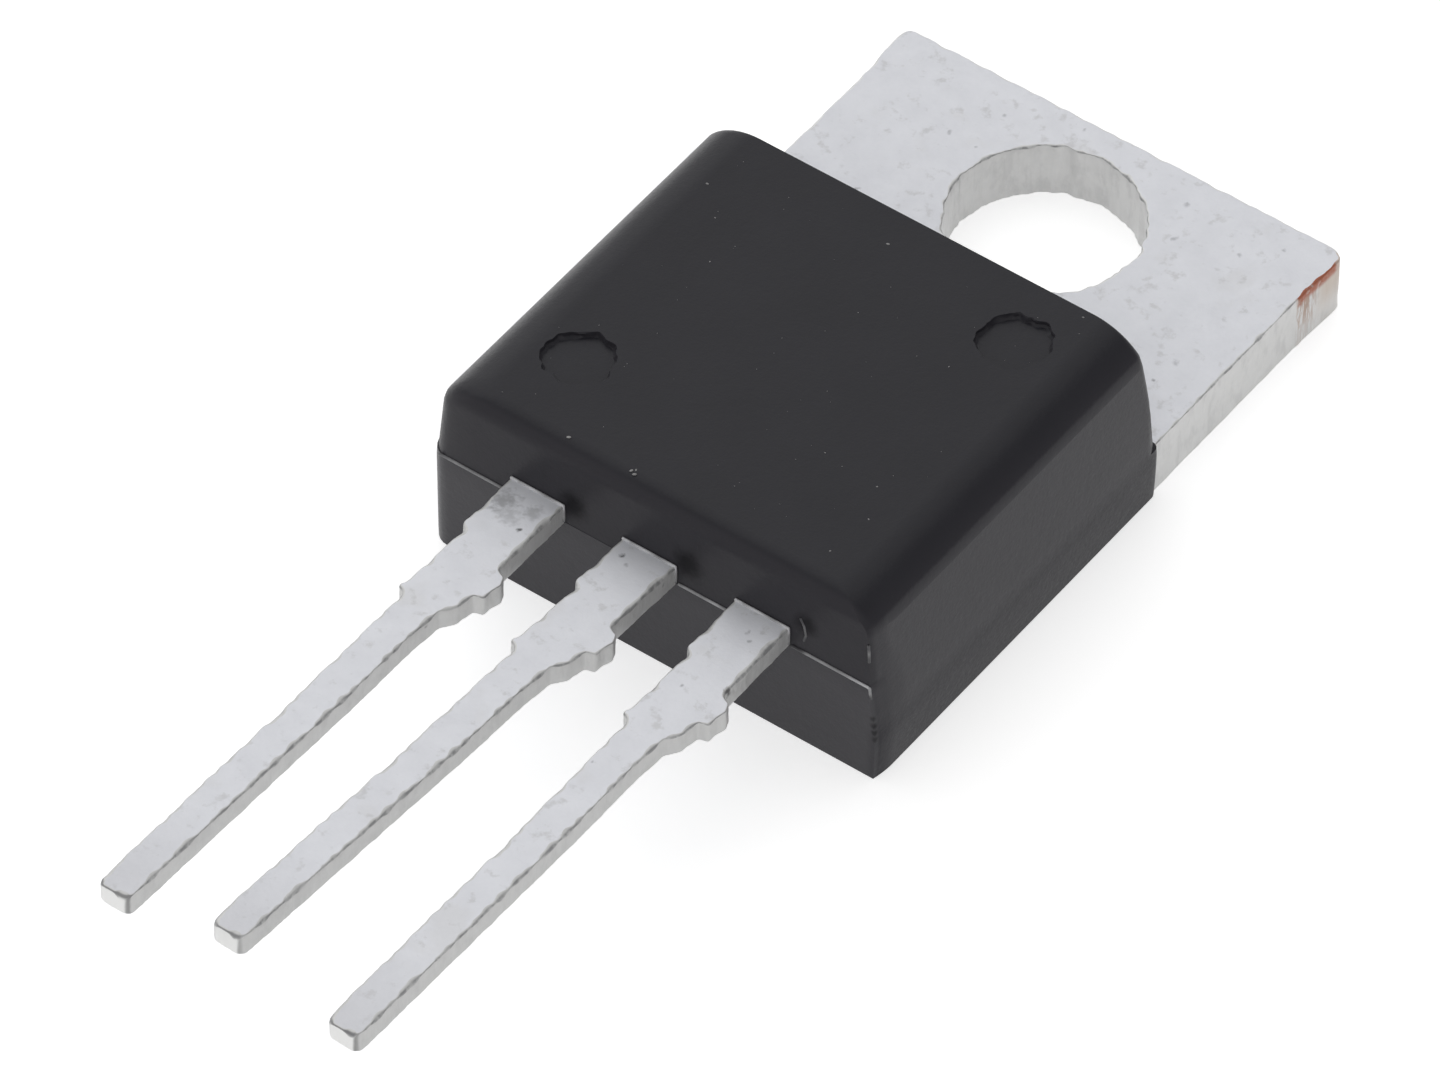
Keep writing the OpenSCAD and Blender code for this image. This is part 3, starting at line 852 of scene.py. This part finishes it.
# The top keeps an opening for each ejector mark, a shallow pit with a ragged rim
top = ring_edges(bm, rings[-1])
for mark_x, mark_y in ejector_marks:
    centre = Vector((mark_x, front_y + mark_y, body_h))
    mark_rings = []
    for inset, depth, uneven in (
        (0, 0, 0.015), (0.01, 0.03, 0.03), (0.02, 0.08, 0.05), (0.06, ejector_depth, 0.06),
    ):
        ring = []
        for k in range(mark_steps):
            turn = -2 * math.pi * k / mark_steps
            spoke = Vector((math.cos(turn), math.sin(turn), 0))
            near = centre + spoke * 0.7
            r = ejector_r - inset + ragged(near, 0.09, 3.2) + ragged(near, 0.05, 8.0)
            r += ragged(centre + spoke + Vector((0, 0, depth * 20)), uneven, 2.4)
            ring.append(bm.verts.new((centre + spoke * r - Vector((0, 0, depth))) * mm))
        mark_rings.append(ring)
    for outer, inner in zip(mark_rings, mark_rings[1:]):
        band(bm, outer, inner)
    rim = ring_edges(bm, mark_rings[0])
    for edge in rim:
        edge.smooth = False
    top.extend(rim)
    bmesh.ops.triangle_fill(bm, edges=ring_edges(bm, mark_rings[-1]), use_beauty=True)
bmesh.ops.triangle_fill(bm, edges=top, use_beauty=True)

# The epoxy is nearly black and slightly blue. Walls and shoulders get a greyer copy of it by how steep they
# are: painted light that lifts their shading
epoxy, nodes, links = new_material("matt_black_epoxy")
resin = nodes["Principled BSDF"]
resin.inputs["IOR"].default_value = 1.42
place = scaled_place(nodes, links, (1, 1, 1))
cloud = grain(nodes, links, place, 0.7, 4)
fine = grain(nodes, links, place, 16.0, 4, 0.65)
coarse = grain(nodes, links, place, 5.0, 4, 0.6)
top_colour = blend_colour(nodes, links, cloud, (0.0165, 0.0161, 0.0206), (0.0225, 0.0221, 0.0276))
wall_colour_painted_light = blend_colour(nodes, links, cloud, (0.0290, 0.0275, 0.0335), (0.0350, 0.0335, 0.0400))
facing = nodes.new("ShaderNodeTexCoord")
# Painted light: the steeper the surface, the more of the greyer wall colour it gets
wall = ramp(nodes, links, part_of(nodes, links, facing.outputs["Normal"], "Z"), 0.55, 0.995, 1.0, 0.0)
resin_colour = blend_colour(nodes, links, wall, top_colour, wall_colour_painted_light)
# The front wall of the upper half shines the least, and is lighter toward its left end. Just right of each
# lead's root it gets painted shade and the lead's painted dark reflection. The lower half is greyer in
# front, has painted shade along its right wall, and a dark streak runs down the corner there.
along = part_of(nodes, links, place, "Y")
up = part_of(nodes, links, place, "Z")
brow = times(
    nodes, links, ramp(nodes, links, along, front_y + 0.14, front_y + 0.30, 1.0, 0.0),
    ramp(nodes, links, up, parting_z, parting_z + 0.015, 0.0, 1.0, smooth=False),
)
across = part_of(nodes, links, place, "X")
brow_end = times(nodes, links, brow, ramp(nodes, links, across, -5.1, -3.9, 0.8, 0.0))
# Painted shade on the lower half's right wall, which otherwise picks up the table's bright reflection
low_right_painted_shade = times(
    nodes, links, ramp(nodes, links, across, 4.80, 4.98, 0.0, 1.0),
    ramp(nodes, links, up, 1.00, 1.60, 1.0, 0.0),
)
low_front = times(
    nodes, links, ramp(nodes, links, along, front_y + 0.03, front_y + 0.12, 1.0, 0.0),
    ramp(nodes, links, up, parting_z - 0.02, parting_z, 1.0, 0.0, smooth=False),
)
# Painted shade and the lead's painted dark reflection by each lead's root, and a dark streak down the lower
# right front corner; each a place, radius and strength
root_shade_and_corner_streak = tuple(
    (k * lead_pitch + dx, front_y + 0.07, z, r, strength)
    for k, dx, z, r, strength in (
        (-1, 0.73, 2.90, 0.48, 0.68), (0, 0.80, 2.98, 0.50, 0.66), (1, 0.90, 3.08, 0.36, 0.6),
    )
) + (
    (5.030, front_y, 1.08, 0.12, 0.6), (5.015, front_y, 1.25, 0.12, 0.7),
    (5.000, front_y, 1.42, 0.12, 0.7), (4.980, front_y, 1.60, 0.11, 0.6),
)
root_shade_and_streak_mask = spots(nodes, links, place, root_shade_and_corner_streak, 0.45)
for mask, colour in (
    (brow, (0.0425, 0.0410, 0.0470)), (brow_end, (0.0620, 0.0600, 0.0660)),
    (low_right_painted_shade, (0.0195, 0.0180, 0.0240)), (low_front, (0.0500, 0.0480, 0.0550)),
    (root_shade_and_streak_mask, (0.008, 0.008, 0.009)),
):
    resin_colour = blend_colour(nodes, links, mask, resin_colour, colour)
links.new(resin_colour, resin.inputs["Base Color"])
shine = times(
    nodes, links, ramp(nodes, links, brow, 0.0, 1.0, 0.28, 0.12, smooth=False),
    ramp(nodes, links, low_right_painted_shade, 0.0, 1.0, 1.0, 0.62, smooth=False),
)
shine = times(nodes, links, shine, ramp(nodes, links, root_shade_and_streak_mask, 0.0, 1.0, 1.0, 0.3))
links.new(shine, resin.inputs["Specular IOR Level"])
links.new(ramp(nodes, links, fine, 0.3, 0.7, 0.28, 0.38), resin.inputs["Roughness"])
links.new(bumps(nodes, links, ((coarse, 0.005), (fine, 0.0035))), resin.inputs["Normal"])

blank = finished("moulded_blank", bm, (epoxy,), None)
# The moulding is hollow where the metal runs through it, and open below, where the pad lies
cutters = []
below_table, flush = -1 * mm, 0.001 * mm
for node in ("header", "base_lead", "emitter_lead"):
    cut = packed_copy(node)
    for vert in cut.verts:
        if vert.co.z < flush:
            vert.co.z = below_table
    data = bpy.data.meshes.new("bed")
    cut.to_mesh(data)
    cut.free()
    bed = placed("bed", data)
    cutters.append(bed)
    carve = blank.modifiers.new("bed", "BOOLEAN")
    carve.operation = "DIFFERENCE"
    carve.solver = "MANIFOLD"
    carve.object = bed
solid = bpy.data.meshes.new_from_object(blank.evaluated_get(bpy.context.evaluated_depsgraph_get()))
for modifier in list(blank.modifiers):
    blank.modifiers.remove(modifier)
blank.data = solid
blank.name = "moulded_epoxy"
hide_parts("moulded_body")
for bed in cutters:
    bpy.data.objects.remove(bed)

# Flash: thin ragged resin fins squeezed out along the parting line and beside the leads' roots, and one
# short fin up the right front corner that is a painted highlight. A rule draws them along a path, wider
# where more resin leaked.


def new_rule(name, inputs):
    """A new geometry node tree with a geometry input and output and the named inputs."""
    geometry = ("Geometry", "Geometry")
    return new_group(name, "GeometryNodeTree", [geometry, *inputs], [geometry])


def end_rule(nodes, links, given, made, geometry):
    """Ends a rule: its instances are made real and get the material that was given."""
    real = nodes.new("GeometryNodeRealizeInstances")
    links.new(geometry, real.inputs["Geometry"])
    dress = nodes.new("GeometryNodeSetMaterial")
    links.new(real.outputs["Geometry"], dress.inputs["Geometry"])
    links.new(given.outputs["Material"], dress.inputs["Material"])
    links.new(dress.outputs["Geometry"], made.inputs["Geometry"])


def grown(name, points, edges, attribute, sizes, tree, values):
    """The mesh that a rule makes from points, each with its own size, as a plain object."""
    base_data = bpy.data.meshes.new(name)
    base_data.from_pydata(points, edges, [])
    base_data.attributes.new(attribute, "FLOAT", "POINT").data.foreach_set("value", sizes)
    base = placed(name + "_base", base_data)
    modifier = base.modifiers.new("rule", "NODES")
    modifier.node_group = tree
    sockets = {s.name: s.identifier for s in tree.interface.items_tree if s.in_out == "INPUT"}
    for label, value in values.items():
        modifier[sockets[label]] = value
    bpy.context.view_layer.update()
    data = bpy.data.meshes.new_from_object(base.evaluated_get(bpy.context.evaluated_depsgraph_get()))
    base.modifiers.remove(modifier)
    bpy.data.objects.remove(base)
    return placed(name, data)


# The fins' resin, also used for the painted highlight fin up the right front corner
flash_and_highlight_resin, nodes, links = new_material("thin_resin_flash_and_highlight")
resin = nodes["Principled BSDF"]
place = scaled_place(nodes, links, (1, 1, 1))
patchy = grain(nodes, links, place, 7.0, 4, 0.6)
flash_and_highlight_colour = blend_colour(nodes, links, patchy, (0.16, 0.16, 0.165), (0.46, 0.46, 0.47))
strength = nodes.new("ShaderNodeAttribute")
strength.attribute_name = "leak"
thin = ramp(nodes, links, strength.outputs["Fac"], 0.5, 1.2, 1.0, 0.0)
flash_and_highlight_colour = blend_colour(nodes, links, thin, flash_and_highlight_colour, (0.06, 0.06, 0.065))
pale = ramp(nodes, links, strength.outputs["Fac"], 1.4, 2.4, 0.0, 1.0)
links.new(blend_colour(nodes, links, pale, flash_and_highlight_colour, (0.62, 0.62, 0.64)), resin.inputs["Base Color"])
links.new(ramp(nodes, links, patchy, 0.3, 0.7, 0.35, 0.55), resin.inputs["Roughness"])

tree, given, made = new_rule("flash_and_highlight_rule", (
    ("Spacing", "Float"), ("Raggedness", "Float"), ("Thickness", "Float"),
    ("Seed", "Float"), ("Material", "Material"),
))
nodes, links = tree.nodes, tree.links
path_curve = nodes.new("GeometryNodeMeshToCurve")
links.new(given.outputs["Geometry"], path_curve.inputs["Mesh"])
even = nodes.new("GeometryNodeResampleCurve")
even.mode = "LENGTH"
links.new(path_curve.outputs["Curve"], even.inputs["Curve"])
links.new(given.outputs["Spacing"], even.inputs["Length"])
leak = nodes.new("GeometryNodeInputNamedAttribute")
leak.inputs["Name"].default_value = "leak"
where = nodes.new("GeometryNodeInputPosition")
jagged = nodes.new("ShaderNodeTexNoise")
jagged.noise_dimensions = "4D"
jagged.inputs["Scale"].default_value = 5.0 / mm
jagged.inputs["Detail"].default_value = 4.0
links.new(where.outputs["Position"], jagged.inputs["Vector"])
links.new(given.outputs["Seed"], jagged.inputs["W"])
spread = nodes.new("ShaderNodeMapRange")
spread.inputs["From Min"].default_value = 0.38
spread.inputs["From Max"].default_value = 0.62
links.new(jagged.outputs["Fac"], spread.inputs["Value"])
lowest = combined(nodes, links, "SUBTRACT", 1.0, given.outputs["Raggedness"])
links.new(lowest, spread.inputs["To Min"])
width = times(nodes, links, spread.outputs["Result"], leak.outputs["Attribute"])
sized = nodes.new("GeometryNodeSetCurveRadius")
links.new(even.outputs["Curve"], sized.inputs["Curve"])
links.new(width, sized.inputs["Radius"])
section = nodes.new("GeometryNodeCurvePrimitiveCircle")
section.inputs["Resolution"].default_value = 8
links.new(given.outputs["Thickness"], section.inputs["Radius"])
fin = nodes.new("GeometryNodeCurveToMesh")
fin.inputs["Fill Caps"].default_value = True
links.new(sized.outputs["Curve"], fin.inputs["Curve"])
links.new(section.outputs["Curve"], fin.inputs["Profile Curve"])
end_rule(nodes, links, given, made, fin.outputs["Mesh"])

line_y = front_y + proud_front


def at_line(x, deep, up, out):
    """A point of a fin: its place by the parting line, and how far the fin stands out there."""
    return Vector((x, line_y + deep, parting_z + up)), out


# Stretches of the parting line along the front, each a row of places and widths
stretches = [
    [(-4.85, 0.7), (-4.45, 1.1), (-4.1, 0.9), (-3.7, 1.1), (-3.3, 0.7)],
    [(0.60, 1.0), (0.75, 1.7), (1.1, 1.5), (1.45, 2.0), (1.75, 1.2)],
    [(3.15, 0.3), (3.4, 0.7), (3.55, 1.4), (3.8, 1.7), (4.1, 1.3), (4.5, 1.9), (4.70, 2.1), (4.86, 2.2)],
]
runs = [[at_line(x, -0.012, 0.010, out) for x, out in stretch] for stretch in stretches]
# Round the right front corner, a short fin up it that is a painted highlight, and a smear beside the right
# lead
corner_x = upper_half_w - (parting_z - tab_t) * math.tan(side_draft) - mould_shift
smear_x = lead_pitch + 0.80
runs.extend([at_line(*point) for point in run] for run in (
    (
        (corner_x - 0.11, -0.012, 0.010, 2.2), (corner_x - 0.065, 0, -0.02, 1.7),
        (corner_x - 0.045, 0.012, -0.30, 0.3),
    ), (
        # Painted highlight: a short fin up the right front corner
        (corner_x - 0.145, 0.064, 1.04, 0.3), (corner_x - 0.125, 0.052, 0.84, 0.9),
        (corner_x - 0.110, 0.040, 0.62, 0.3),
    ), (
        (smear_x - 0.04, 0.050, 0.80, 0.3), (smear_x + 0.05, 0.045, 0.64, 0.8),
        (smear_x + 0.10, 0.030, 0.44, 0.7), (smear_x + 0.06, 0.020, 0.28, 0.3),
    ),
))
# A rim over each lead's root and down its right side
rim_y = line_y + (lead_z1 - parting_z) * math.tan(front_draft) - 0.03
rim_z = lead_z1 + 0.004
rim = (
    (-0.60, rim_z, 1.8), (-0.56, rim_z, 3.2), (-0.40, rim_z, 1.8), (-0.10, rim_z, 2.4),
    (0.20, rim_z, 1.6), (0.45, rim_z, 2.0), (0.58, rim_z, 3.2), (0.60, rim_z, 2.4),
    (0.61, lead_z1 - 0.15, 1.6), (0.61, lead_z0 + 0.1, 0.8),
)
for k in (-1, 0, 1):
    lead_x = k * lead_pitch - mould_shift
    runs.append([(Vector((lead_x + across, rim_y, z)), out) for across, z, out in rim])
verts, edges, leaks = [], [], []
for run in runs:
    for k, (point, out) in enumerate(run):
        if k:
            edges.append((len(verts) - 1, len(verts)))
        verts.append(point * mm)
        leaks.append(out)
flash_and_highlight = grown("parting_flash", verts, edges, "leak", leaks, tree, {
    "Spacing": 0.02 * mm, "Raggedness": 0.85, "Thickness": 0.028 * mm, "Seed": 3.7,
    "Material": flash_and_highlight_resin,
})
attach(flash_and_highlight, "root")
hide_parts("moulded_body")

# Grains: pale crumbs of resin and dust that lie on the moulding's top. A rule sets one flat
# crumb at each point and turns it by chance.
grain_dust, nodes, links = new_material("pale_dust")
resin = nodes["Principled BSDF"]
place = scaled_place(nodes, links, (1, 1, 1))
patchy = grain(nodes, links, place, 2.0, 4, 0.6)
dust_colour = blend_colour(nodes, links, patchy, (0.12, 0.12, 0.13), (0.42, 0.41, 0.40))
links.new(dust_colour, resin.inputs["Base Color"])
resin.inputs["Roughness"].default_value = 0.7

tree, given, made = new_rule("crumb_rule", (
    ("Flatness", "Float"), ("Seed", "Int"), ("Material", "Material"),
))
nodes, links = tree.nodes, tree.links
crumb = nodes.new("GeometryNodeMeshIcoSphere")
crumb.inputs["Subdivisions"].default_value = 2
crumb.inputs["Radius"].default_value = 1.0
size = nodes.new("GeometryNodeInputNamedAttribute")
size.inputs["Name"].default_value = "size"
flat = nodes.new("ShaderNodeCombineXYZ")
links.new(size.outputs["Attribute"], flat.inputs["X"])
links.new(times(nodes, links, size.outputs["Attribute"], 0.6), flat.inputs["Y"])
links.new(times(nodes, links, size.outputs["Attribute"], given.outputs["Flatness"]), flat.inputs["Z"])
chance = nodes.new("FunctionNodeRandomValue")
chance.data_type = "FLOAT"
chance.inputs[3].default_value = 2 * math.pi
links.new(given.outputs["Seed"], chance.inputs["Seed"])
spin = nodes.new("ShaderNodeCombineXYZ")
links.new([o for o in chance.outputs if o.enabled][0], spin.inputs["Z"])
each = nodes.new("GeometryNodeInstanceOnPoints")
links.new(given.outputs["Geometry"], each.inputs["Points"])
links.new(crumb.outputs["Mesh"], each.inputs["Instance"])
links.new(flat.outputs["Vector"], each.inputs["Scale"])
links.new(spin.outputs["Vector"], each.inputs["Rotation"])
end_rule(nodes, links, given, made, each.outputs["Instances"])

# The crumbs that the photo shows, each with its place and radius, and more set by chance
crumbs = [
    (-3.97, -5.29, 0.034), (-3.33, -5.91, 0.020), (-0.37, -4.56, 0.036), (-2.74, -6.87, 0.020),
    (-2.17, -11.95, 0.045), (-0.76, -11.94, 0.040), (-0.66, -11.98, 0.045), (-0.70, -11.88, 0.028),
    (2.35, -6.42, 0.018), (3.05, -9.62, 0.020), (3.40, -10.36, 0.022), (3.30, -11.40, 0.024),
    (1.80, -9.50, 0.018), (3.60, -3.95, 0.026),
]
by_chance = random.Random(11)
finest = 60
for _ in range(finest):
    crumbs.append((
        by_chance.uniform(-4.1, 3.8), by_chance.uniform(-11.9, -4.3), by_chance.uniform(0.004, 0.011),
    ))
places = [(x * mm, y * mm, body_h * mm) for x, y, _ in crumbs]
grains = grown("loose_grains", places, [], "size", [r * mm for _, _, r in crumbs], tree, {
    "Flatness": 0.35, "Seed": 5, "Material": grain_dust,
})
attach(grains, "root")
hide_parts("moulded_body")

# Inside, out of sight: the silicon chip on its solder, and the two aluminium bond wires that
# join it to the outer leads' posts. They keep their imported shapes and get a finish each.
for node, colour, rough, metallic in (
    ("silicon_die", (0.10, 0.11, 0.14), 0.15, 0.6), ("die_solder", (0.40, 0.40, 0.41), 0.45, 1.0),
    ("base_wire", (0.80, 0.80, 0.81), 0.25, 1.0), ("emitter_wire", (0.80, 0.80, 0.81), 0.25, 1.0),
):
    material, nodes, links = new_material(node + "_finish")
    shader = nodes["Principled BSDF"]
    shader.inputs["Metallic"].default_value = metallic
    place = scaled_place(nodes, links, (1, 1, 1))
    speckle = grain(nodes, links, place, 8.0)
    darker = tuple(0.85 * c for c in colour)
    links.new(blend_colour(nodes, links, speckle, darker, colour), shader.inputs["Base Color"])
    links.new(ramp(nodes, links, speckle, 0.3, 0.7, rough * 0.8, rough * 1.2), shader.inputs["Roughness"])
    packed = bpy.data.objects[node]
    packed.data.materials.clear()
    packed.data.materials.append(material)
